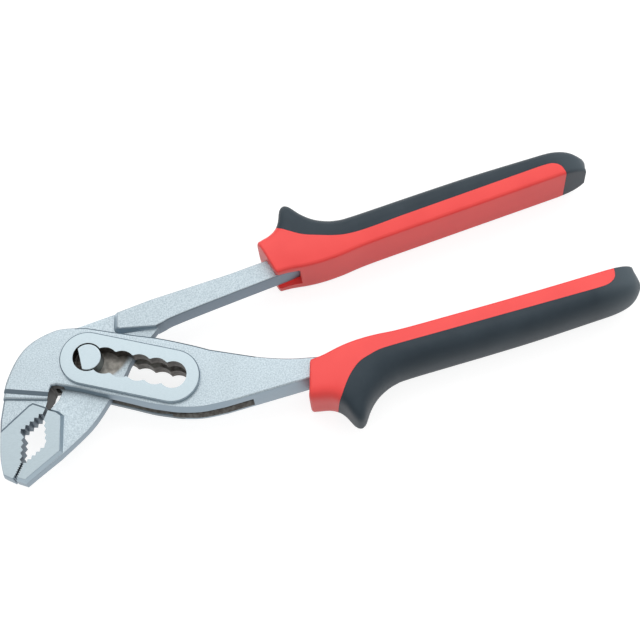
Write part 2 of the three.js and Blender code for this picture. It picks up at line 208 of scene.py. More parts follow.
def smoothOff(piece, sharpAngle=24):  # clean mesh, soft faces, crisp edges
    sheet = bmesh.new()
    sheet.from_mesh(piece.data)
    bmesh.ops.remove_doubles(sheet, verts=sheet.verts, dist=2e-6)
    bmesh.ops.dissolve_degenerate(sheet, edges=sheet.edges, dist=1e-6)
    slivers = {}
    for face in bmesh.ops.triangulate(sheet, faces=sheet.faces)["faces"]:
        slivers.setdefault(frozenset(face.verts), []).append(face)
    folded = [face for pair in slivers.values() if len(pair) > 1 for face in pair]
    bmesh.ops.delete(sheet, geom=folded, context="FACES")
    sheet.to_mesh(piece.data)
    sheet.free()
    piece.data.shade_smooth()
    piece.data.set_sharp_from_angle(angle=math.radians(sharpAngle))
    weighted = piece.modifiers.new("weighted", "WEIGHTED_NORMAL")
    weighted.keep_sharp = True
    return settle(piece)


# rows of equal cuts, made with geometry nodes

def cutterRowTree():
    tree = bpy.data.node_groups.new("cutterRow", "GeometryNodeTree")
    tree.interface.new_socket("Geometry", in_out="INPUT", socket_type="NodeSocketGeometry")
    for label, kind in (("Count", "Int"), ("Sides", "Int"), ("Start", "Vector"), ("Step", "Vector"),
                        ("Half size", "Vector"), ("Turn", "Float"), ("Finish", "Material")):
        tree.interface.new_socket(label, in_out="INPUT", socket_type="NodeSocket" + kind)
    tree.interface.new_socket("Geometry", in_out="OUTPUT", socket_type="NodeSocketGeometry")
    add = tree.nodes.new
    given = add("NodeGroupInput")
    line = add("GeometryNodeMeshLine")
    line.mode = "OFFSET"
    cutter = add("GeometryNodeMeshCylinder")
    cutter.inputs["Radius"].default_value = 1
    cutter.inputs["Depth"].default_value = 2
    turn = add("ShaderNodeCombineXYZ")
    place = add("GeometryNodeInstanceOnPoints")
    carve = add("GeometryNodeMeshBoolean")
    carve.operation = "DIFFERENCE"
    carve.solver = "MANIFOLD"
    realize = add("GeometryNodeRealizeInstances")
    paint = add("GeometryNodeSetMaterial")
    result = add("NodeGroupOutput")
    for source, outlet, target, inlet in (
            (given, "Count", line, "Count"), (given, "Start", line, "Start Location"),
            (given, "Step", line, "Offset"), (given, "Sides", cutter, "Vertices"),
            (given, "Turn", turn, "Z"), (line, "Mesh", place, "Points"),
            (cutter, "Mesh", place, "Instance"), (turn, "Vector", place, "Rotation"),
            (given, "Half size", place, "Scale"), (given, "Geometry", carve, 0),
            (place, "Instances", carve, 1), (carve, 0, realize, "Geometry"),
            (realize, "Geometry", paint, "Geometry"), (given, "Finish", paint, "Material"),
            (paint, "Geometry", result, "Geometry")):
        tree.links.new(source.outputs[outlet], target.inputs[inlet])
    return tree


cutterRow = cutterRowTree()


def cutRow(piece, finish, count, sides, start, step, halfSize, turn):
    modifier = piece.modifiers.new("cutterRow", "NODES")
    modifier.node_group = cutterRow
    values = {"Count": count, "Sides": sides, "Turn": turn, "Finish": finish,
              "Start": Vector((start[0], start[1], midPlane)) * mm,
              "Step": Vector((step[0], step[1], 0)) * mm,
              "Half size": Vector(halfSize) * mm}
    for item in cutterRow.interface.items_tree:
        if item.in_out == "INPUT" and item.name in values:
            modifier[item.identifier] = values[item.name]
    return settle(piece)


def cutTeeth(piece, finish, start, end, count, depth):  # V grooves, tips on the line
    start, end = np.array(start), np.array(end)
    step = (end - start) / count
    pitch = np.linalg.norm(step)
    return cutRow(piece, finish, count, 4, start + step / 2, step,
                  (0.485 * pitch, depth, 12), math.atan2(step[1], step[0]))


# pivot and slot, shared by both arms

pivot = {
    "slotAngle": -29.4,
    "notches": 6,
    "pitch": 6.52,
    "notchRadius": 5.15,
    "entryRadius": 5.5,
    "pinRadius": 5.05,
    "pinChamfer": 0.3,
    "pinFlat": 2.72,
    "pinTurn": -2.4,
    "padHalf": 8.0,
    "tongueHalf": 2.3,
}


# finishes: grain and cloud sizes in mm, bump as strength with depth in mm

def linear(red, green, blue):  # written as 0-255 screen values
    steps = [v / 255 for v in (red, green, blue)]
    return tuple(v / 12.92 if v <= 0.04045 else ((v + 0.055) / 1.055) ** 2.4 for v in steps)


def shaderOf(finish):
    return finish.node_tree.nodes["Principled BSDF"]


def newFinish(name, colour, roughness, metallic=0.0):
    finish = bpy.data.materials.new(name)
    finish.use_nodes = True
    shader = shaderOf(finish)
    shader.inputs["Base Color"].default_value = (*colour, 1)
    shader.inputs["Roughness"].default_value = roughness
    shader.inputs["Metallic"].default_value = metallic
    return finish


def feed(finish, socket, value):  # another node's output, a colour or a number
    if isinstance(value, bpy.types.NodeSocket):
        finish.node_tree.links.new(value, socket)
    else:
        socket.default_value = (*value, 1) if isinstance(value, tuple) else value


def coordinate(finish, kind="Object"):
    return finish.node_tree.nodes.new("ShaderNodeTexCoord").outputs[kind]


def axisOf(finish, vector, axis):
    parts = finish.node_tree.nodes.new("ShaderNodeSeparateXYZ")
    feed(finish, parts.inputs["Vector"], vector)
    return parts.outputs[axis]


def objectNoise(finish, size, detail=2.0, stretch=(1, 1, 1)):  # size of the grain in mm
    nodes = finish.node_tree.nodes
    mapping = nodes.new("ShaderNodeMapping")
    mapping.inputs["Scale"].default_value = stretch
    noise = nodes.new("ShaderNodeTexNoise")
    noise.inputs["Scale"].default_value = 1 / (size * mm)
    noise.inputs["Detail"].default_value = detail
    feed(finish, mapping.inputs["Vector"], coordinate(finish))
    feed(finish, noise.inputs["Vector"], mapping.outputs["Vector"])
    return noise.outputs["Fac"]


def ramp(finish, source, stops):  # stops: place with a grey level or a colour
    node = finish.node_tree.nodes.new("ShaderNodeValToRGB")
    elements = node.color_ramp.elements
    while len(elements) < len(stops):
        elements.new(0.5)
    for element, (place, value) in zip(elements, stops):
        element.position = place
        colour = value if isinstance(value, tuple) else (value, value, value)
        element.color = (*colour, 1)
    feed(finish, node.inputs["Fac"], source)
    return node.outputs["Color"]


def mixed(finish, factor, first, second, kind="MIX"):
    node = finish.node_tree.nodes.new("ShaderNodeMix")
    node.data_type = "RGBA"
    node.blend_type = kind
    for index, value in ((0, factor), (6, first), (7, second)):  # the colour sockets of this node
        feed(finish, node.inputs[index], value)
    return node.outputs[2]


def roughGrain(finish, source, strength, depth):  # bump, depth in mm
    node = finish.node_tree.nodes.new("ShaderNodeBump")
    node.inputs["Strength"].default_value = strength
    node.inputs["Distance"].default_value = depth * mm
    feed(finish, node.inputs["Height"], source)
    feed(finish, shaderOf(finish).inputs["Normal"], node.outputs["Normal"])


def mathNode(finish, operation, *values):
    node = finish.node_tree.nodes.new("ShaderNodeMath")
    node.operation = operation
    for socket, value in zip(node.inputs, values):
        feed(finish, socket, value)
    return node.outputs[0]


def fade(finish, source, start, end, first=0, last=1):  # from one value to another, start and end in mm
    node = finish.node_tree.nodes.new("ShaderNodeMapRange")
    for label, value in (("Value", source), ("From Min", start * mm), ("From Max", end * mm),
                         ("To Min", first), ("To Max", last)):
        feed(finish, node.inputs[label], value)
    return node.outputs["Result"]


def wallShadeShare(finish):  # share of painted shade: 1 on walls that stand upright, 0 on flat faces
    level = mathNode(finish, "ABSOLUTE", axisOf(finish, coordinate(finish, "Normal"), "Z"))
    return ramp(finish, level, [(steelLook["wallShadeFull"], 1.0), (steelLook["wallShadeNone"], 0.0)])


def paint(finish, colour):
    feed(finish, shaderOf(finish).inputs["Base Color"], colour)


groundGrain, groundBump = 0.25, (0.18, 0.02)
stainGrain, stainBump = 1.4, (0.3, 0.05)
steelLook = {
    "face": linear(191, 203, 209),
    "speck": linear(160, 174, 182),
    # the next four: painted shade on upright walls, darker on the through arm's shank, and the normal
    # heights where that painted shade is full and where it is gone
    "flankShade": linear(146, 161, 172),
    "shankFlankShade": linear(116, 129, 141),
    "wallShadeFull": 0.45,
    "wallShadeNone": 0.85,
    "roughness": 0.45,
    "grain": 0.5,
    "cloud": 9.0,
    "bump": (0.5, 0.06),
}
groundLook = {
    "face": linear(180, 193, 199),
    "line": linear(171, 185, 191),
    "roughness": 0.4,
}
jawLook = {
    "face": linear(170, 183, 189),
    "line": linear(162, 175, 181),
    "roughness": 0.4,
}
# painted light and shade for edges and walls: darker on steps, on the line along upper edges, on pad
# walls, on the rear cheek's lower edge and on tooth walls; lighter on the shoulder's slope and on the
# jaw's bevels, a little less on their lower side
edgeLightShadeLook = {
    "step": linear(122, 137, 148),
    "line": linear(104, 118, 128),
    "padWall": linear(166, 182, 192),
    "shoulder": linear(186, 201, 211),
    "soft": linear(176, 192, 202),
    "softLow": linear(168, 184, 194),
    "rear": linear(104, 116, 124),
    "toothShade": linear(112, 124, 134),
    "roughness": 0.45,
}
slotLook = {
    "wall": linear(92, 86, 80),
    "oilAndShade": linear(52, 48, 46),
    "roughness": 0.45,
    "metal": 0.8,
}
# painted shade: near black walls in the narrow throat between the jaws
throatShadeLook = {
    "wall": linear(54, 52, 50),
    "oilAndShade": linear(36, 35, 34),
    "roughness": 0.45,
    "metal": 0.8,
}
# painted shade on the bevelled lower mouth of the box gap
gapMouthShadeLook = {
    "wall": linear(116, 115, 112),
    "oilAndShade": linear(80, 76, 71),
    "roughness": 0.6,
    "metal": 0.2,
}
# painted shade on the faces inside the gap between the cheeks
gapShadeLook = {
    "wall": linear(138, 138, 134),
    "oilAndShade": linear(108, 104, 98),
    "roughness": 0.6,
    "metal": 0.2,
}
tongueLook = {
    "worn": linear(148, 145, 139),
    "oilAndShade": linear(114, 112, 107),
    "grain": 2.2,
    "reach": 14.8,
    "reachFade": 1.5,
    "across": 1.35,
    "shift": 2.5,
    "edge": 9.6,
    "edgeFade": 1.0,
    "shankFrom": -5.0,
    "shankTo": 15.0,
    "jawLevel": (1.05, 1.05, 1.05),
    "shankLevel": (0.93, 0.93, 0.93),
}
redLook = {
    "face": linear(245, 77, 74),
    "shade": linear(240, 72, 70),
    "roughness": 0.42,
    "grain": 0.3,
    "cloud": 14.0,
    "bump": (0.12, 0.03),
    "gloss": 0.4,
}
rubberLook = {
    "face": linear(52, 63, 71),
    "shade": linear(45, 56, 64),
    # painted highlight: the covers lighter towards their rounded tail ends, from and to these places
    "tailHighlight": linear(76, 87, 94),
    "tailHighlightFrom": 184.0,
    "tailHighlightTo": 199.0,
    "roughness": 0.5,
    "grain": 0.28,
    "cloud": 10.0,
    "bump": (0.3, 0.04),
    "gloss": 0.22,
}


def blastedSteel(name):
    look = steelLook
    finish = newFinish(name, look["face"], look["roughness"], 1.0)
    grain = objectNoise(finish, look["grain"], 3.0)
    cloud = objectNoise(finish, look["cloud"])
    specks = ramp(finish, grain, [(0.32, look["speck"]), (0.62, look["face"])])
    tone = mixed(finish, 1.0, specks, ramp(finish, cloud, [(0.3, 0.95), (0.7, 1.0)]), "MULTIPLY")
    roughGrain(finish, grain, *look["bump"])
    return finish, tone


def forgedSteel():
    finish, tone = blastedSteel("forgedSteel")
    # painted shade: upright walls take the darker wall tone
    paint(finish, mixed(finish, wallShadeShare(finish), tone, steelLook["flankShade"]))
    return finish


def tongueSteel():  # bare and oily where it runs inside the box
    look = tongueLook
    finish, tone = blastedSteel("tongueSteel")
    nodes = finish.node_tree.nodes
    flat = nodes.new("ShaderNodeMapping")  # slot direction along X, narrower across
    flat.inputs["Rotation"].default_value = (0, 0, -math.radians(pivot["slotAngle"]))
    flat.inputs["Scale"].default_value = (1, look["across"], 0)
    flat.inputs["Location"].default_value = (0, -look["shift"] * look["across"] * mm, 0)
    feed(finish, flat.inputs["Vector"], coordinate(finish))
    fromEye = nodes.new("ShaderNodeVectorMath")
    fromEye.operation = "LENGTH"
    feed(finish, fromEye.inputs[0], flat.outputs["Vector"])
    reach, edge = look["reach"], (look["edge"] - look["shift"]) * look["across"]
    nearEye = fade(finish, fromEye.outputs["Value"], reach - look["reachFade"], reach, 1, 0)
    beside = axisOf(finish, flat.outputs["Vector"], "Y")
    covered = fade(finish, beside, edge, edge + look["edgeFade"], 1, 0)
    inBox = mathNode(finish, "MULTIPLY", nearEye, covered)
    onShank = fade(finish, axisOf(finish, coordinate(finish), "X"), look["shankFrom"], look["shankTo"])
    # painted shade on upright walls, darker along the shank
    flankShade = mixed(finish, onShank, steelLook["flankShade"], steelLook["shankFlankShade"])
    level = mixed(finish, onShank, look["jawLevel"], look["shankLevel"])
    tone = mixed(finish, 1.0, tone, level, "MULTIPLY")
    tone = mixed(finish, wallShadeShare(finish), tone, flankShade)
    patches = objectNoise(finish, look["grain"], 4.0)
    worn = ramp(finish, patches, [(0.35, look["oilAndShade"]), (0.6, look["worn"])])
    paint(finish, mixed(finish, inBox, tone, worn))
    return finish


def groundSteel(name, look):
    finish = newFinish(name, look["face"], look["roughness"], 1.0)
    lines = objectNoise(finish, groundGrain, 3.0, (0.25, 1.6, 1.0))
    paint(finish, ramp(finish, lines, [(0.3, look["line"]), (0.65, look["face"])]))
    roughGrain(finish, lines, *groundBump)
    return finish


# two tones in patches: stains in the slot and on the pin's flats, painted shade in the throat and the gap
def stainAndShadeSteel(name, look):
    finish = newFinish(name, look["wall"], look["roughness"], look["metal"])
    patches = objectNoise(finish, stainGrain, 4.0)
    paint(finish, ramp(finish, patches, [(0.35, look["oilAndShade"]), (0.65, look["wall"])]))
    roughGrain(finish, patches, *stainBump)
    return finish


def redPlastic():
    look = redLook
    finish = newFinish("redPlastic", look["face"], look["roughness"])
    grain = objectNoise(finish, look["grain"], 3.0)
    cloud = objectNoise(finish, look["cloud"])
    paint(finish, ramp(finish, cloud, [(0.3, look["shade"]), (0.7, look["face"])]))
    roughGrain(finish, grain, *look["bump"])
    shaderOf(finish).inputs["Specular IOR Level"].default_value = look["gloss"]
    return finish


def blackRubber():
    look = rubberLook
    finish = newFinish("blackRubber", look["face"], look["roughness"])
    grain = objectNoise(finish, look["grain"], 3.0)
    cloud = objectNoise(finish, look["cloud"], 3.0)
    tone = ramp(finish, cloud, [(0.3, look["shade"]), (0.7, look["face"])])
    # painted highlight towards the tail end
    tailHighlightShare = fade(finish, axisOf(finish, coordinate(finish), "X"), look["tailHighlightFrom"], look["tailHighlightTo"])
    paint(finish, mixed(finish, tailHighlightShare, tone, look["tailHighlight"]))
    roughGrain(finish, grain, *look["bump"])
    shaderOf(finish).inputs["Specular IOR Level"].default_value = look["gloss"]
    return finish


forgedFinish = forgedSteel()
tongueFinish = tongueSteel()
groundFinish = groundSteel("groundSteel", groundLook)
jawFinish = groundSteel("jawSteel", jawLook)
slotFinish = stainAndShadeSteel("slotSteel", slotLook)
throatShadeFinish = stainAndShadeSteel("throatShadeSteel", throatShadeLook)
gapShadeFinish = stainAndShadeSteel("gapShadeSteel", gapShadeLook)
gapMouthShadeFinish = stainAndShadeSteel("gapMouthShadeSteel", gapMouthShadeLook)
# painted light and shade finishes, one for each tone above
edgeLightShadeFinish = {name: newFinish(name + "Steel", edgeLightShadeLook[name], edgeLightShadeLook["roughness"], 1.0)
              for name in ("step", "line", "padWall", "shoulder", "soft", "softLow", "rear", "toothShade")}
redFinish = redPlastic()
rubberFinish = blackRubber()
print("finishes made")


def dress(piece, finish):
    piece.data.materials.clear()
    piece.data.materials.append(finish)
    piece.data.polygons.foreach_set("material_index", [0] * len(piece.data.polygons))


def isWall(normal):
    return abs(normal.z) < 0.3


def isSloped(normal):
    return abs(normal.z) < 0.95


def isFlat(normal):
    return abs(normal.z) > 0.9


def dressFaces(piece, finish, test):  # a second finish on the faces that pass the test, in mm
    piece.data.materials.append(finish)
    index = len(piece.data.materials) - 1
    for face in piece.data.polygons:
        centre = face.center / mm
        if test(centre.x, centre.y, centre.z - midPlane, face.normal):
            face.material_index = index


def standFor(piece, node, body):
    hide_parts(node)
    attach(piece, body)


def alongSlot(along, across):
    turn = math.radians(pivot["slotAngle"])
    return pt(along * math.cos(turn) - across * math.sin(turn),
              along * math.sin(turn) + across * math.cos(turn))


slotLength = (pivot["notches"] - 1) * pivot["pitch"]

# the mouth between the jaws

mouth = {
    "tip": pt(-36.55, -36.2),
    "lip": pt(-32.45, -31.0),
    "throat": pt(-15.0, -5.0),
    "outerTop": pt(-21.2, -15.0),
    "outerApex": pt(-30.7, -19.6),
    "outerTurn": pt(-29.8, -21.6),
    "innerApex": pt(-23.0, -26.6),
    "innerTop": pt(-21.3, -17.4),
    "heel": pt(-33.1, -38.6),
    "corner": pt(-18.9, -32.2),
    "gap": 0.62,
    "coarse": 1.0,
    "fine": 0.45,
}
throatEdge = [pt(-16.2, -10.4), pt(-16.1, -7.9), pt(-15.2, -6.6), pt(-13.7, -6.8), pt(-11.3, -8.0),
              pt(-6, -10.6)]
lipRun = mouth["lip"] - mouth["tip"]
lipSide = pt(lipRun[1], -lipRun[0]) / np.linalg.norm(lipRun)


def lipLine(jaw):
    shift = lipSide * jaw * mouth["gap"] / 2
    return mouth["lip"] + shift, mouth["tip"] + shift


# slotted arm

slottedArmSize = {
    "boxHalf": 6.5,
    "landHalf": 5.3,
    "jawHalf": 4.1,
    "round": 1.2,
    "padRadius": 10.22,
    "padShift": -0.4,
    "padBevel": 0.42,
    "cuspLow": -4.25,
    "cuspHigh": 4.2,
    "wallLean": 1.1,
    "groundDepth": 0.25,
    "groundSlope": 0.5,
    "stepSlope": 1.9,
    "boxTop": 11.9,
    "boxFlare": 1.3,
    "boxReach": 10.5,
    "gapHalf": 2.6,
    "gapLip": 0.3,
    "gapFlare": 1.2,
    "flareFrom": 24,
    "gapEnd": 54.2,
    "gapRadius": 15.3,
    "gapTop": 145,
    "shankBottom": -32.2,
    "tangEnd": 173.4,
    "boxStep": -3.6,
    "landStep": -5.8,
}
hookBack = bend([(2, 12.5), (-9.3, 14.8), (-21.8, 11.2), (-31, 1), (-37.1, -12.8)], 72)
jawBack = bend([hookBack[-1], (-38.9, -20.3), (-40.2, -27), (-40.5, -33.4)], 24)


def hookBackTo(step):
    after = next(i for i, p in enumerate(hookBack) if p[1] < step)
    a, b = hookBack[after - 1], hookBack[after]
    end = a + (b - a) * (step - a[1]) / (b[1] - a[1])
    return [p for p in hookBack if p[1] > step + 2 * slottedArmSize["round"]] + [end]


def slottedShankOutline():
    size = slottedArmSize
    top = bend([(40, -7.6), (57.4, -16.4), (70, -21.4), (80, -23.9)], 36)
    return top + [(90, -26.3), (size["tangEnd"], -27.4), (size["tangEnd"], -32.0),
                  (84, size["shankBottom"]), (46, size["shankBottom"])]


def slottedShank(grow=0.0):
    size = slottedArmSize
    profile = forgedProfile(size["boxHalf"], size["round"], grow)
    return forging("shank", slottedShankOutline(), profile)


def boxOutline():
    size = slottedArmSize
    bottom = bend([(11, -20.75), (17.2, -24.5), (22.2, -27), (27.3, -29.25), (35, -31.4),
                   (44, size["shankBottom"])], 40)
    corner = alongSlot(slotLength + size["boxReach"], size["boxTop"] + size["boxFlare"])
    top = bend([corner, (37.4, -5.5), (27.4, 0.15), (17.1, 5), hookBack[0]], 36)
    return top[:-1] + hookBackTo(size["boxStep"]) + throatEdge + bottom + [
        (60, size["shankBottom"]), (60, -17.6)]


def padOutline():
    side = pivot["slotAngle"] + 90
    radius, shift = slottedArmSize["padRadius"], slottedArmSize["padShift"]
    return (arc(alongSlot(-0.1, shift), radius, side, side + 180, 64)
            + arc(alongSlot(slotLength - 0.1, shift), radius, side + 180, side + 360, 64))


def boxGapOutline():
    size = slottedArmSize
    turn = math.radians(size["gapTop"])
    return ([(50 * math.cos(turn), 50 * math.sin(turn))]
            + arc(pt(0, 0), size["gapRadius"], size["gapTop"], 198, 40)
            + [(-14.3, -45), (size["gapEnd"], -45), (size["gapEnd"], 50)])


def groundCutter(outline, level, face):  # a shallow flat with a sloping border
    ring = closedRing(outline)
    depth, slope = slottedArmSize["groundDepth"], slottedArmSize["groundSlope"]
    rings = [atHeight(insetRing(ring, -outset), face * height)
             for height, outset in ((level, 0), (level + depth, slope), (farOut, slope))]
    return loft("ground", rings if face > 0 else rings[::-1])


def stepCutter(face):  # slope from the box down to the hook's land
    size = slottedArmSize
    start, end = hookBackTo(size["boxStep"])[-1], throatEdge[0]
    along = (end - start) / np.linalg.norm(end - start)
    up = pt(-along[1], along[0])
    rings = []
    for height, rise in ((size["landHalf"] + 0.03, 0.1), (size["boxHalf"] + 0.3, 0.1 + size["stepSlope"])):
        ring = [start - along * 6 + up * rise, start - along * 6 - up * 4, end - up * 4, end + up * rise]
        rings.append(atHeight(closedRing(ring), face * height))
    return loft("step", rings if face > 0 else rings[::-1])


def gapLip():  # bevels the lower rear mouth of the box gap, more towards the shank
    size = slottedArmSize
    half, lip, flare = size["gapHalf"], size["gapLip"], size["gapFlare"]
    spare = 0.15  # the cutter stands out by this much
    ring = closedRing(boxOutline())
    flared = flare * np.clip((ring[:, 0] - size["flareFrom"] + 4) / 14, 0, 1)
    rings = [atHeight(insetRing(ring, inset), -half - depth) for depth, inset in (
        (lip + 1.6, -spare), (lip + 0.3, flared - spare),
        (0, lip + spare + flared), (-half - 0.2, lip + spare + flared))]
    reach = [(-2, -14), (size["gapEnd"], -22), (size["gapEnd"], -45), (-2, -45)]
    return cut(prism("gapLip", reach, -half - lip - 1.5, 0), loft("kept", rings))


def lowerWall():  # lets the front cheek's lower wall lean back to a crisp edge
    size = slottedArmSize
    ring = closedRing(boxOutline())
    share = np.clip((ring[:, 0] + 9) / 7, 0, 1) * np.clip((58 - ring[:, 0]) / 8, 0, 1)
    rings = []
    for height, lean in ((2.5, -0.02), (6.2, 0.91), (6.4, 1.0), (6.8, 1.3)):
        inset = lean * size["wallLean"] * share + 0.6 * (share - 1)
        rings.append(atHeight(insetRing(ring, inset), height))
    below = size["padShift"] - size["padRadius"] - 0.15
    reach = [alongSlot(-4, below), alongSlot(slotLength + 2, below), (40, -29.6), (58, -29.6),
             (58, -45), (-9.5, -45)]
    return cut(prism("lowerWall", reach, 2.55, 6.75), loft("kept", rings))


def buildSlottedArm():
    size = slottedArmSize
    root = [mouth["throat"], (-10, -4), (-20, 4)]
    land = [p for p in hookBackTo(size["landStep"]) if p[1] < 3] + [(-17.2, -11.35)] + root
    jaw = [p for p in hookBack if p[1] < 1] + jawBack[1:] + [
        (-37.2, -36.3), (-33, -33), (-28, -20), (-18, -15)] + root
    bevel = size["padBevel"]
    padEdge = [(0.0, 0.0), (pivot["padHalf"] - bevel, 0.05)]
    for a in np.radians((30, 60, 90)):
        padEdge.append((pivot["padHalf"] - bevel * (1 - math.sin(a)), bevel * (1 - math.cos(a))))
    arm = forging("slottedArm", boxOutline(), forgedProfile(size["boxHalf"], size["round"]))
    weld(arm,
         slottedShank(),
         forging("land", land, forgedProfile(size["landHalf"], size["round"])),
         forging("jaw", jaw, forgedProfile(size["jawHalf"], size["round"])),
         forging("pads", padOutline(), padEdge))
    ground = [(-50, -24.4), (-25.3, -10.8), (-23.9, -10.4), (-19.5, -13.6), (-10, -20),
              (-10, -50), (-50, -50)]
    groundLevel = size["jawHalf"] - size["groundDepth"]
    lip, end = lipLine(-1)
    outerMouth = [(-13.9, -7.1), (-15.1, -6.5), (-16.1, -6.9), (-16.9, -8.2), (-17.8, -9.6),
                  (-19.4, -12.6), mouth["outerTop"], mouth["outerApex"], mouth["outerTurn"], lip,
                  end + 0.5 * (end - lip), (-5, -45), (-5, -13.4), (-13.4, -8.6)]
    cuspLow, cuspHigh = size["cuspLow"], size["cuspHigh"]
    cusps = [alongSlot(share * slotLength, across) for share, across in (
        (0.1, cuspLow), (0.9, cuspLow), (0.9, cuspHigh), (0.1, cuspHigh))]
    cut(arm,
        stepCutter(1),
        stepCutter(-1),
        groundCutter(ground, groundLevel, 1),
        groundCutter(ground, groundLevel, -1),
        punch("mouth", outerMouth),
        prism("gap", boxGapOutline(), -size["gapHalf"], size["gapHalf"]),
        gapLip(),
        lowerWall(),
        punch("cusps", cusps),
        punch("entry", circle(pivot["entryRadius"], 96)))
    cutRow(arm, forgedFinish, pivot["notches"], 96, pt(0, 0), alongSlot(pivot["pitch"], 0),
           (pivot["notchRadius"], pivot["notchRadius"], farOut), math.radians(pivot["slotAngle"]))
    cutTeeth(arm, forgedFinish, mouth["outerTop"], mouth["outerApex"], 5, mouth["coarse"])
    cutTeeth(arm, forgedFinish, mouth["outerTurn"], lip, 4, 0.85 * mouth["coarse"])
    cutTeeth(arm, forgedFinish, lip, end, 8, mouth["fine"])
    smoothOff(arm)
    dress(arm, forgedFinish)
    slotEnd = alongSlot(slotLength, 0)

    def onPad(x, y, z, normal):
        return abs(z) > size["boxHalf"] + 1.0 and not isSloped(normal)

    # painted shade on the pad walls
    def onPadEdge(x, y, z, normal):
        return abs(z) > size["boxHalf"] + 0.02 and isSloped(normal)

    # painted shade: a dark line along the pads' and the box's upper edges
    def onUpperEdge(x, y, z, normal):
        padTop = abs(z) > pivot["padHalf"] - bevel and 0.3 < abs(normal.z) < 0.97 and normal.y > -0.3
        boxTop = -2 < x < 62 and y > -18 and 4.5 < abs(z) < size["boxHalf"] and normal.y > 0.25
        return padTop or boxTop and abs(normal.z) < 0.92

    # painted shade on the hook's step and on the ground flat's sloping border
    def onStep(x, y, z, normal):
        hookStep = x < -15 and y > -13 and normal.y < -0.25 and abs(z) > size["landHalf"]
        border = x < -18 and 0.03 < abs(z) - groundLevel < 0.24 and 0.8 < abs(normal.z) < 0.97
        return hookStep and isSloped(normal) or border

    # painted shade on the tooth walls
    def onTeeth(x, y, z, normal):
        return isWall(normal) and -35.6 < x < -18 and -36.5 < y < -12.6 and abs(z) < size["jawHalf"]

    # painted shade on the rear cheek's lower edge
    def onRearEdge(x, y, z, normal):
        beforeFlare = -12 < x < size["flareFrom"] + 4 and z < -size["gapHalf"]
        return beforeFlare and normal.y < -0.3 and isSloped(normal)

    def onJawFlat(x, y, z, normal):
        return x < -18 and y < -8 and abs(abs(z) - groundLevel) < 0.05 and isFlat(normal)

    def inSlot(x, y, z, normal):
        along = max(0.0, min(1.0, np.dot(pt(x, y), slotEnd) / np.dot(slotEnd, slotEnd)))
        beside = np.linalg.norm(pt(x, y) - along * slotEnd)
        return isWall(normal) and beside < pivot["entryRadius"] + 0.2

    # painted shade on the throat's walls
    def inThroat(x, y, z, normal):
        return isWall(normal) and -19.5 < x < -12 and -12.7 < y < -5

    # painted shade on the faces inside the gap
    def inGap(x, y, z, normal):
        return abs(z) < size["gapHalf"] + 0.01 and (isFlat(normal) or normal.x < -0.9 and x > 50)

    # painted shade on the gap's bevelled mouth
    def onGapMouth(x, y, z, normal):
        alongFlare = size["flareFrom"] < x < size["gapEnd"] + 0.1
        return alongFlare and -4.6 < z < -size["gapHalf"] and normal.z > 0.25

    for finish, test in (
            (groundFinish, onPad), (jawFinish, onJawFlat), (edgeLightShadeFinish["step"], onStep),
            (edgeLightShadeFinish["padWall"], onPadEdge), (edgeLightShadeFinish["line"], onUpperEdge),
            (edgeLightShadeFinish["toothShade"], onTeeth), (edgeLightShadeFinish["rear"], onRearEdge), (slotFinish, inSlot),
            (throatShadeFinish, inThroat), (gapShadeFinish, inGap), (gapMouthShadeFinish, onGapMouth)):
        dressFaces(arm, finish, test)
    return arm


# through arm

throughArmSize = {
    "shankHalf": 4.6,
    "shankRound": 0.6,
    "jawHalf": 4.1,
    "jawBevel": 1.1,
    "edge": 0.3,
    "eyeRadius": 14.8,
    "bore": 5.13,
    "tangEnd": 170.8,
    "shoulderGap": 2.0,
    "shoulderRound": 1.5,
    "shoulderSlope": 1.3,
    "neck": 27.2,
}


def roundedCorner(before, corner, after, reach, steps=8):
    start = corner + (before - corner) * reach / np.linalg.norm(before - corner)
    end = corner + (after - corner) * reach / np.linalg.norm(after - corner)
    shares = np.linspace(0, 1, steps + 1)
    return [start * (1 - t) ** 2 + corner * 2 * t * (1 - t) + end * t ** 2 for t in shares]


def throughShankOutline():
    size = throughArmSize
    end = size["tangEnd"]
    shoulder = alongSlot(6.65, slottedArmSize["boxTop"] + size["shoulderGap"])
    top, neck = pt(14.4, 15.4), pt(size["neck"], 5.5)
    lower = bend([(30, 6.1), (34, 7), (50, 8.7), (80, 11.5)], 28)
    return [top] + roundedCorner(top, shoulder, neck, size["shoulderRound"]) + [neck] + lower + [
        (92, 13.4), (end, 19.2), (end, 24.2), (84, 19.6), (58.9, 17.7), (27.5, 16.6)]


def throughShank(grow=0.0):
    size = throughArmSize
    profile = forgedProfile(size["shankHalf"], size["shankRound"], grow)
    return forging("shank", throughShankOutline(), profile)


def shoulderSlope():  # run-out of the shank's shoulder on to the tongue
    size = throughArmSize
    half, neck = pivot["tongueHalf"], size["neck"]
    outline = closedRing(throughShankOutline())
    run = size["shoulderSlope"] * np.clip((neck - outline[:, 0]) / 14, 0, 1)  # dies out at the neck
    levels = [(0.0, -run), (half + 0.1, -run), (size["shankHalf"] - 0.35, 0.12)]
    slope = forging("slope", outline, levels)
    reach = [(9, 15.3), (9, 4), (neck, 1), (neck, 12), (15, 15.3)]
    return keepInside(slope, punch("reach", reach))


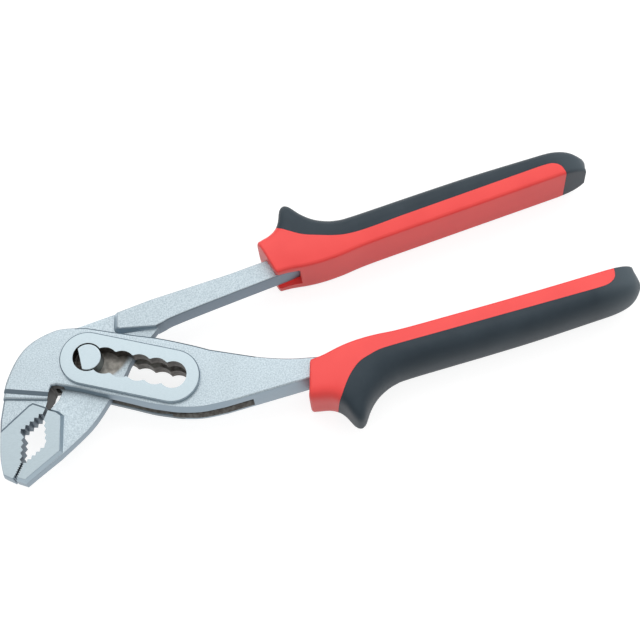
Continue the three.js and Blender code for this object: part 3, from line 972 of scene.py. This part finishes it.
def buildThroughArm():
    size = throughArmSize
    half = pivot["tongueHalf"]
    belly = (-5.6, -24.6)
    tongue = arc(pt(0, 0), size["eyeRadius"], 90, 213, 64) + [
        (-14.5, -11), (-20, -12.5), (-38, -34), mouth["tip"], mouth["heel"]]
    tongue += bend([mouth["corner"], belly, (3.2, -16.8), (10.6, -9.6), (14.6, -4.6), (19.5, -0.9),
                    (27, 4.9)], 60)
    tongue += [(30, 8), (20, 15.6), (12, 15.6)]
    plate = [(0.0, 0.0), (half - size["edge"], 0.0), (half - 0.09, 0.09), (half, size["edge"])]
    jaw = [(-19.6, -12.6), (-15.6, -15.2), (-14, -17.4), (-17.7, -31.2), mouth["heel"],
           mouth["tip"], (-39, -34), (-24, -15)]
    below = [mouth["heel"], mouth["corner"], belly, (0, -50), (-33, -60)]
    top, bevel = size["jawHalf"], size["jawBevel"]
    jawEdge = [(0.0, 0.0), (half, 0.0), (top - 0.25, bevel - 0.25), (top - 0.07, bevel - 0.12),
               (top, bevel)]
    raised = cut(forging("raised", jaw, jawEdge), punch("below", below))
    arm = forging("throughArm", tongue, plate)
    weld(arm, raised, throughShank(), shoulderSlope())
    lip, end = lipLine(1)
    innerMouth = [end + 0.5 * (end - lip), lip, mouth["innerApex"], mouth["innerTop"], (-18.9, -14.0),
                  (-16.3, -12.3), (-14.6, -11.1), (-12.6, -8.4), (-30, 0), (-55, -20), (-55, -45)]
    cut(arm,
        punch("mouth", innerMouth),
        punch("bore", circle(size["bore"], 96)))
    cutTeeth(arm, tongueFinish, end, lip, 8, mouth["fine"])
    cutTeeth(arm, tongueFinish, lip, mouth["innerApex"], 5, 0.85 * mouth["coarse"])
    cutTeeth(arm, tongueFinish, mouth["innerApex"], mouth["innerTop"], 4, 0.6 * mouth["coarse"])
    smoothOff(arm)
    dress(arm, tongueFinish)

    def onJawFlat(x, y, z, normal):
        return x < -12 and abs(abs(z) - size["jawHalf"]) < 0.05 and isFlat(normal)

    def onJawEdge(x, y, z, normal):
        return x < -12 and y < -12 and half + 0.02 < abs(z) < size["jawHalf"] - 0.02 and isSloped(normal)

    def onShoulder(x, y, z, normal):
        onWall = half + 0.02 < abs(z) < size["shankHalf"] - 0.05 and isSloped(normal)
        return 9 < x < size["neck"] and normal.y < 0.5 and onWall

    dressFaces(arm, jawFinish, onJawFlat)
    # painted light on the jaw's bevel, a little less on its lower side, painted shade on its upper side,
    # and painted light on the shoulder's slope
    dressFaces(arm, edgeLightShadeFinish["soft"], onJawEdge)
    dressFaces(arm, edgeLightShadeFinish["softLow"], lambda *face: onJawEdge(*face) and face[3].y < -0.4)
    dressFaces(arm, edgeLightShadeFinish["step"], lambda *face: onJawEdge(*face) and face[3].y > 0.2)
    dressFaces(arm, edgeLightShadeFinish["shoulder"], onShoulder)
    return arm


# pivot pin

def buildPin():
    half, radius, chamfer = pivot["padHalf"], pivot["pinRadius"], pivot["pinChamfer"]
    edge = [(0.0, 0.0), (half - chamfer, 0.0), (half - 0.3 * chamfer, 0.3 * chamfer), (half, chamfer)]
    pin = forging("pivotPin", circle(radius, 128), edge)
    turn = math.radians(pivot["pinTurn"])
    flat = np.array([(-pivot["pinFlat"], -9), (-pivot["pinFlat"], 9), (-14, 9), (-14, -9)])
    flat = flat @ np.array([(math.cos(turn), math.sin(turn)), (-math.sin(turn), math.cos(turn))])
    cut(pin,
        prism("flatFront", flat, pivot["tongueHalf"], farOut),
        prism("flatRear", flat, -farOut, -pivot["tongueHalf"]))
    smoothOff(pin)
    dress(pin, groundFinish)

    def onFlat(x, y, z, normal):
        shelf = isFlat(normal) and abs(z) < half - 1
        return shelf or isWall(normal) and math.hypot(x, y) < radius - 0.15

    dressFaces(pin, slotFinish, onFlat)
    return pin


slottedArm = buildSlottedArm()
print("slotted arm", len(slottedArm.data.polygons), "faces")
throughArm = buildThroughArm()
print("through arm", len(throughArm.data.polygons), "faces")
pivotPin = buildPin()
print("pin", len(pivotPin.data.polygons), "faces")


# grips

gripSize = {
    "length": 126.6,
    "half": 11.5,
    "creaseDrop": 0.8,
    "crown": 7.8,
    "width": 14.5,
    "tail": 12.8,
    "hornReach": 28.3,
    "hornPlace": 12.9,
    "coverLine": 5.6,
    "frontSwell": 0.8,
    "coreWall": 1.8,
    "seam": 0.05,
    "fit": 0.25,
    "notchLength": 10.2,
    "notchFrom": -5.4,
    "notchTo": 2.6,
}
# the finger guard: place from its tip, share of its height
hornShape = [(-5.9, 0.38), (-4.0, 0.58), (-2.2, 0.88), (-0.6, 0.99), (0.7, 0.99), (2.1, 0.91),
             (4.6, 0.645), (7.6, 0.413), (11.1, 0.24), (16.1, 0.094), (23.1, 0.03)]


def track(points):  # a value along the grip, smooth through its points
    dense = np.array(bend([pt(*p) for p in points], 1200))
    ahead = np.concatenate([[True], np.diff(np.maximum.accumulate(dense[:, 0])) > 0])
    dense = dense[ahead]
    return lambda place: float(np.interp(place, dense[:, 0], dense[:, 1]))


# length, width and the tail's width, short for the lists below
gl, gw, gt = gripSize["length"], gripSize["width"], gripSize["tail"]
swell = gripSize["frontSwell"]
hornRise = gripSize["hornReach"] - gw

# along the grip: inner wall, its set-back at the front, outer wall, thickness and squareness
gripInner = track([(-6, 0), (4, -0.15 * swell), (16, -0.9 * swell), (26, -0.9 * swell),
                   (37, -0.1 * swell), (gl / 2, 0), (gl - 6.5, 0), (gl - 4, 0.15), (gl - 2.6, 0.6),
                   (gl - 1.3, 1.9), (gl + 0.1, 5)])
frontEase = track([(-6, 1.3), (0, 1), (6, 0.82), (12, 0.35), (17, 0.1), (22, 0), (30, 0),
                   (45, 0), (gl + 0.1, 0)])
gripOuter = track([(-6, gw + 1.1), (0, gw + 2.3), (4, gw + 3.3)]
                  + [(gripSize["hornPlace"] + place, gw + share * hornRise) for place, share in hornShape]
                  + [(gl / 2, gw), (gl - 42, gw - 0.5), (gl - 19, gt), (gl - 11, gt - 0.5),
                     (gl - 6, gt - 1.4), (gl - 3, gt - 2.8), (gl - 1, gt - 4.8), (gl + 0.1, gt - 6.6)])
gripThick = track([(-6, 0.92), (0, 0.95), (12, 0.99), (24, 1), (gl / 2, 1), (gl - 16, 1),
                   (gl - 12, 0.995), (gl - 9, 0.965), (gl - 7, 0.92), (gl - 5, 0.84), (gl - 3, 0.7),
                   (gl - 1.5, 0.51), (gl - 0.5, 0.3), (gl + 0.1, 0.14)])
gripSquare = track([(-6, 4.5), (6, 4.3), (12, 3.6), (18, 3), (26, 2.5), (34, 2.4), (60, 2.4),
                    (gl + 0.1, 2.4)])
frontPlaces = np.arange(-6, 14, 0.25)
# the front's rounded edge: place behind the front, inset
frontRounds = [(0, 0.9), (0.07, 0.58), (0.25, 0.27), (0.5, 0.08), (0.75, 0.01), (0.95, 0)]
frontLength = 12  # the slant of the front dies out here
gripPlaces = np.concatenate([np.arange(*run) for run in (
    (frontLength, 42, 0.6), (42, gl - 22, 2.0), (gl - 22, gl - 8, 1.0), (gl - 8, gl - 2, 0.4),
    (gl - 2, gl + 0.01, 0.2))])
# the rounded crease between inner wall and face: across and height
creaseRound = [(0.02, -1.3), (0.15, -0.75), (0.5, -0.27), (1.15, 0.05)]


def gripSection(place, shape):  # across and height of one section
    toEnd = max(0.0, (place - gl / 2) / (gl / 2))
    inner = gripInner(place) + shape["ease"] * frontEase(place) - shape["tailIn"] * toEnd ** 2
    rounder = max(0.0, (place - gl + 16) / 16) ** 2 * min(1.0, (gl + 1.5 - place) / 5)
    width = gripOuter(place) - shape["tailOut"] * rounder - inner
    crown = inner + min(gripSize["crown"], 0.54 * width)
    top = gripSize["half"] * gripThick(place)
    crease = (gripSize["half"] - gripSize["creaseDrop"]) * gripThick(place)
    roundOff = min(1.0, width / 8)
    half = [pt(inner, 0.3 * crease), pt(inner, 0.6 * crease), pt(inner, 0.8 * crease)]
    half += bend([pt(inner + across * roundOff, crease + rise * roundOff)
                  for across, rise in creaseRound], 9)
    half += [pt(inner + (crown - inner) * 0.55, crease + (top - crease) * 0.62), pt(crown, top)]
    power = 2 / gripSquare(place)
    reach = inner + width - crown
    for turn in np.linspace(0, math.pi / 2, 22)[1:-1]:
        half.append(pt(crown + reach * math.sin(turn) ** power, top * math.cos(turn) ** power))
    lower = [pt(p[0], -p[1]) for p in reversed(half)]
    return np.array([pt(inner, 0)] + half + [pt(inner + width, 0)] + lower)


def gripRings(shape):  # the first sections lie along the slanting front and round off its edge
    slope = math.tan(math.radians(shape["slant"]))
    sections = np.array([gripSection(place, shape) for place in frontPlaces])
    count = range(sections.shape[1])
    rings = []
    for back, inset in frontRounds + [(b, 0) for b in np.arange(1.5, frontLength, 0.6)]:
        share = 1 - back / frontLength
        along = np.full(len(count), back)
        for _ in range(8):  # closes in on where the slant meets each line of the skin
            across = np.array([np.interp(along[i], frontPlaces, sections[:, i, 0]) for i in count])
            along = back + share * (shape["set"] - slope * across)
        height = np.array([np.interp(along[i], frontPlaces, sections[:, i, 1]) for i in count])
        rings.append(np.column_stack([along, insetRing(np.column_stack([across, height]), -inset)]))
    for place in gripPlaces:
        section = gripSection(place, shape)
        rings.append(np.column_stack([np.full(len(section), place), section]))
    return rings


def coreOutline(place, shift):  # the hard core's share of the grip in plan
    line = gripSize["coverLine"]
    end = line + place["lift"]
    front = bend([pt(x, line + height) for x, height in place["sweep"]], 60)
    stop = gl - place["coreStop"]
    tail = bend([pt(stop - 8.9, end), pt(stop - 4.1, end - 0.4), pt(stop - 1.1, end - 2.4),
                 pt(stop - 0.1, end - 6), pt(stop, -4)], 36)
    outline = [pt(5.6, 40), pt(5.6, 22)] + front + tail + [pt(stop, -8), pt(-20, -8), pt(-20, 40)]
    return [p + shift for p in outline]


def inGrip(points, place):  # from a grip's own frame to the pliers' frame
    turn = math.radians(place["turn"])
    points = np.array(points, float)
    x = place["x"] + points[:, 0] * math.cos(turn) - points[:, 1] * math.sin(turn)
    y = place["y"] + points[:, 0] * math.sin(turn) + points[:, 1] * math.cos(turn)
    return np.column_stack([x, y] + ([points[:, 2] + midPlane] if points.shape[1] > 2 else []))


def coreRegion(place, shift):  # its seam leans forward from the front face to the rear
    half = gripSize["half"]
    rings = []
    for height in [-30] + [half * share for share in np.linspace(-1, 1, 13)] + [30]:
        lean = place["lean"] * min(1.0, max(0.0, 0.5 - height / half / 2))
        plan = [pt(p[0] - lean * (p[0] < gl / 2), place["side"] * p[1]) for p in coreOutline(place, shift)]
        rings.append(atHeight(closedRing(inGrip(plan, place)), height))
    return loft("region", rings)


def frontNotch(place):  # open at the front, wider there
    wideFront, front, rear, wideRear = place["notch"]
    length = gripSize["notchLength"]
    corners = [(-8, wideFront), (length, front), (length, rear), (-8, wideRear)]
    rings = []
    for across in (gripSize["notchFrom"], gripSize["notchTo"]):
        rings.append(inGrip([(x, place["side"] * across, z) for x, z in corners], place))
    if place["side"] < 0:
        rings.reverse()
    return loft("notch", rings)


def buildGrip(prefix, place, tang):  # tang: the arm's shank, grown by a given gap
    side = place["side"]
    rings = [inGrip(ring * (1, side, 1), place) for ring in gripRings(place)]
    body = loft(prefix + "GripCover", [ring[::-1] for ring in rings] if side > 0 else rings)
    wall = gripSize["fit"] + gripSize["coreWall"]
    core = copyOf(body, prefix + "GripCore")
    sleeve = keepInside(tang(wall), copyOf(body, "sleeve"))
    keepInside(core, coreRegion(place, 0))
    weld(core, sleeve)
    cut(core, tang(gripSize["fit"]), frontNotch(place))
    cut(body, coreRegion(place, gripSize["seam"]), tang(wall + gripSize["seam"]))
    for piece, finish in ((core, redFinish), (body, rubberFinish)):
        smoothOff(piece, 32)
        dress(piece, finish)
    print(prefix, "grip", len(core.data.polygons), "and", len(body.data.polygons), "faces")
    return core, body


# where each grip sits, and its own shape: ease sets the inner wall back at the front, slant and set lay
# the front face, tailIn and tailOut shift the walls at the end, lift, lean and sweep draw the seam,
# coreStop is the hard core's distance from the end
slottedPlace = {
    "x": 76.8, "y": -24.1, "turn": -0.75, "side": -1, "ease": 1.9, "lift": 0.2,
    "slant": 15.5, "set": 1.5, "tailIn": 0.9, "tailOut": 0.0, "lean": 2.6, "coreStop": 9.1,
    "notch": (9.8, 7.2, -7.2, -9.8),
    "sweep": [(8.5, 13.1), (12, 8.2), (15, 5), (18.3, 2.6), (22.4, 1.2), (27, 0.2), (35, 0)],
}
throughPlace = {
    "x": 74.2, "y": 9.0, "turn": 3.55, "side": 1, "ease": 1.5, "lift": 0.2,
    "slant": 11, "set": 1.6, "tailIn": 0.0, "tailOut": 3.2, "lean": 0.4, "coreStop": 9.9,
    "notch": (7.2, 6.5, -5.7, -7.6),
    "sweep": [(7.9, 12.3), (14.7, 6.8), (20.7, 3.9), (27.3, 1.3), (33, 0.2), (40, -0.1), (52, 0.1)],
}
slottedCore, slottedCover = buildGrip("slotted", slottedPlace, slottedShank)
throughCore, throughCover = buildGrip("through", throughPlace, throughShank)

standFor(slottedArm, "slotted_arm", "slotted_arm")
standFor(slottedCore, "slotted_grip_core", "slotted_arm")
standFor(slottedCover, "slotted_grip_cover", "slotted_arm")
standFor(throughArm, "through_arm", "through_arm")
standFor(pivotPin, "pivot_pin", "through_arm")
standFor(throughCore, "through_grip_core", "through_arm")
standFor(throughCover, "through_grip_cover", "through_arm")
print("pieces placed")


# camera, floor and light

view = {
    "place": (0.05409, -0.23477, 0.59830),
    "turn": (20.9245, 3.1449, -16.2442),
    "lens": 95.625,
    "sensor": 36.0,
}
studio = {
    "floorWhite": 0.34,
    "floorLift": 0.82,
    "floorReach": 4000,
    "floorGap": 0.05,
    "sky": 0.63,
    "aim": (0.07, -0.01, 0.008),
    "key": {"place": (0.25, 0.75, 0.95), "size": 1.5, "watts": 9.0},
    "fill": {"place": (0.35, -0.5, 0.7), "size": 0.7, "watts": 0.4},
    "side": {"place": (0.65, 0.05, 0.35), "size": 0.5, "watts": 0.5},
}

camera = bpy.data.objects.new("camera", bpy.data.cameras.new("camera"))
camera.location = view["place"]
camera.rotation_euler = [math.radians(a) for a in view["turn"]]
camera.data.lens = view["lens"]
camera.data.sensor_width = view["sensor"]
camera.data.clip_start = 0.01
bpy.context.scene.collection.objects.link(camera)
bpy.context.scene.camera = camera


def areaLamp(name, settings):
    lamp = bpy.data.objects.new(name, bpy.data.lights.new(name, "AREA"))
    lamp.data.size = settings["size"]
    lamp.data.energy = settings["watts"]
    lamp.location = settings["place"]
    aim = Vector(studio["aim"]) - lamp.location
    lamp.rotation_euler = aim.to_track_quat("-Z", "Y").to_euler()
    bpy.context.scene.collection.objects.link(lamp)


for lampName in ("key", "fill", "side"):
    areaLamp(lampName + "Lamp", studio[lampName])


def seenDirectly(finish):  # 1 for what the camera, metal and glass see
    path = finish.node_tree.nodes.new("ShaderNodeLightPath").outputs
    seen = mathNode(finish, "MAXIMUM", path["Is Camera Ray"], path["Is Glossy Ray"])
    return mathNode(finish, "MAXIMUM", seen, path["Is Transmission Ray"])


def whiteFloor():
    finish = newFinish("floorPaper", (studio["floorWhite"],) * 3, 0.9)
    shader = shaderOf(finish)
    shader.inputs["Emission Color"].default_value = (1, 1, 1, 1)
    shader.inputs["Specular IOR Level"].default_value = 0.0
    lift = mathNode(finish, "MULTIPLY", seenDirectly(finish), studio["floorLift"])
    feed(finish, shader.inputs["Emission Strength"], lift)
    return finish


floorReach = studio["floorReach"]
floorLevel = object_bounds()[0].z / mm - studio["floorGap"]
floorCorners = [(x * floorReach, y * floorReach, floorLevel)
                for x, y in ((-1, -1), (1, -1), (1, 1), (-1, 1))]
floor = newPiece("floor", floorCorners, [(0, 1, 2, 3)])
floor.data.materials.append(whiteFloor())

world = bpy.data.worlds.new("studioSky")
world.use_nodes = True
bpy.context.scene.world = world
background = world.node_tree.nodes["Background"]
background.inputs["Color"].default_value = (1, 1, 1, 1)
background.inputs["Strength"].default_value = studio["sky"]

bpy.context.scene.view_settings.view_transform = "Standard"

print("scene ready")
